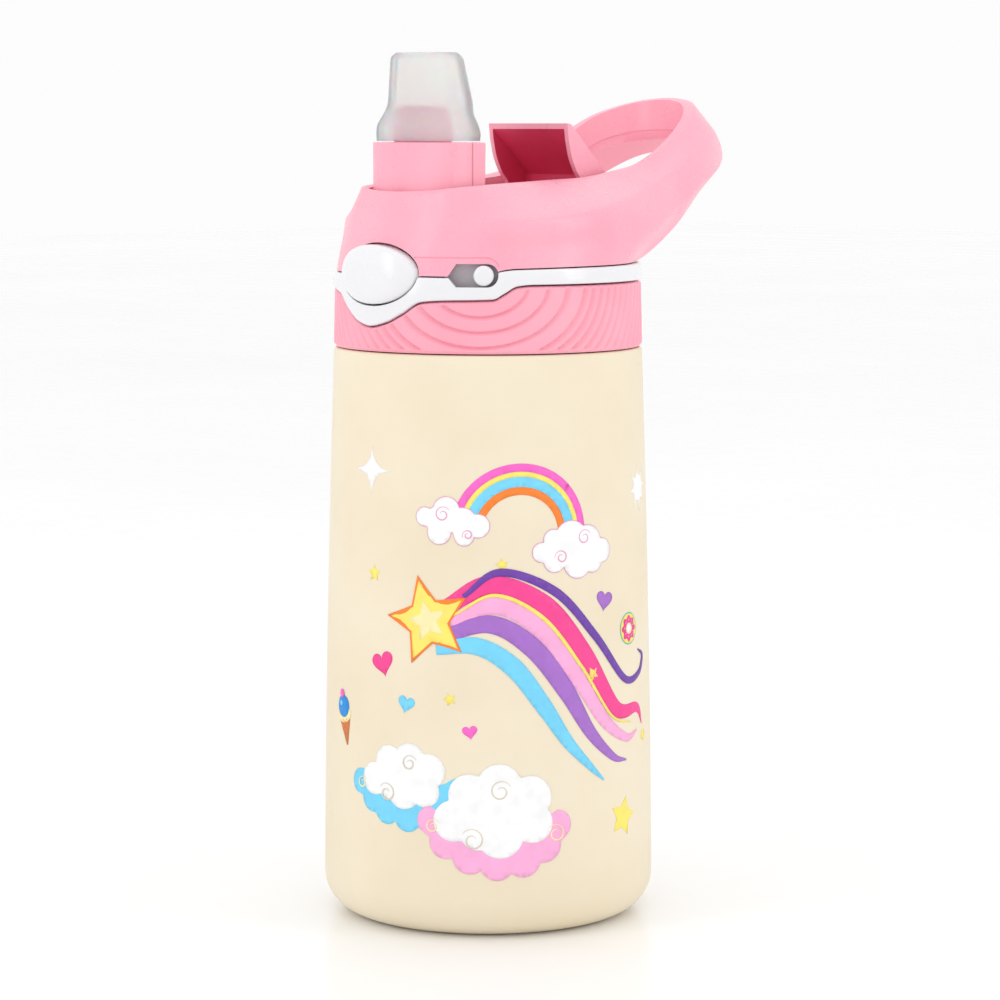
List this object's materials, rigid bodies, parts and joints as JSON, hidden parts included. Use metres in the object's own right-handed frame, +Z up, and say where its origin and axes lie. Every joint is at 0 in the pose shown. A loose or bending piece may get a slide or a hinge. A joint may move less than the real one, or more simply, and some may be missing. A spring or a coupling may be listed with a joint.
{
  "type": "kids insulated water bottle",
  "caption": "Small insulated drinking bottle with a push-button lid, flip-up straw spout, spout shield and loop carry handle.",
  "frame": {"origin": "centre of the underside, on the surface the bottle stands on", "axes": "+Z up; -Y is the front with the release button; +Y is the side of the loop handle; +X carries the child lock"},
  "size_m": [0.075, 0.1033, 0.1936],
  "materials": {
    "cream_powder_coat": "satin",
    "stainless_steel": "brushed",
    "spring_steel": "satin",
    "pink_plastic": "satin",
    "collar_pink_plastic": "satin",
    "white_plastic": "satin",
    "grey_plastic": "matte",
    "frosted_silicone": "frosted",
    "white_silicone": "matte",
    "clear_straw": "clear"
  },
  "bodies": {
    "bottle": {"outer_shell": "cream_powder_coat", "base_cap": "stainless_steel", "inner_flask": "stainless_steel", "vacuum_getter": "spring_steel"},
    "seal": {"neck_seal": "white_silicone"},
    "lid": {"lid_collar": "collar_pink_plastic", "trim_ring": "white_plastic", "lid_housing": "pink_plastic", "lid_deck": "white_plastic", "channel_tray": "pink_plastic", "port_seal": "white_silicone", "straw_socket": "white_plastic", "straw": "clear_straw", "air_vent_valve": "white_silicone", "button_spring": "spring_steel", "lock_track": "grey_plastic", "spout_pin_right": "stainless_steel", "spout_pin_left": "stainless_steel", "spout_spring": "spring_steel", "shield_pin_right": "stainless_steel", "shield_pin_left": "stainless_steel", "shield_spring": "spring_steel"},
    "spout": {"spout_body": "pink_plastic", "spout_back": "pink_plastic", "mouthpiece": "frosted_silicone"},
    "shield": {"spout_shield": "pink_plastic"},
    "button": {"release_button": "white_plastic", "button_latch": "white_plastic"},
    "lock": {"lock_slider": "white_plastic"}
  },
  "joints": [
    {"name": "lid_lift", "type": "slide", "parent": "bottle", "child": "seal", "axis": [0, 0, 1], "range_m": [0, 0.005]},
    {"name": "lid_turn", "type": "hinge", "parent": "seal", "child": "lid", "pos_m": [0, 0, 0.139], "axis": [0, 0, 1], "range_deg": [0, 450]},
    {"name": "spout_fold", "type": "hinge", "parent": "lid", "child": "spout", "pos_m": [0, -0.0196, 0.158], "axis": [-1, 0, 0], "range_deg": [0, 90], "stiffness_Nm_per_rad": 0.02, "springref_deg": -17.19},
    {"name": "shield_close", "type": "hinge", "parent": "lid", "child": "shield", "pos_m": [0, 0.0204, 0.1532], "axis": [1, 0, 0], "range_deg": [0, 39], "stiffness_Nm_per_rad": 0.01, "springref_deg": -17.19},
    {"name": "button_press", "type": "slide", "parent": "lid", "child": "button", "axis": [0, 1, 0], "range_m": [0, 0.002], "stiffness_N_per_m": 600, "springref_m": -0.001},
    {"name": "lock_slide", "type": "hinge", "parent": "lid", "child": "lock", "pos_m": [0, 0, 0.1455], "axis": [0, 0, 1], "range_deg": [-7, 0]}
  ],
  "couplings": [
    {"joint": "lid_lift", "follows": "lid_turn", "m_per_rad": 0.00063662}
  ]
}
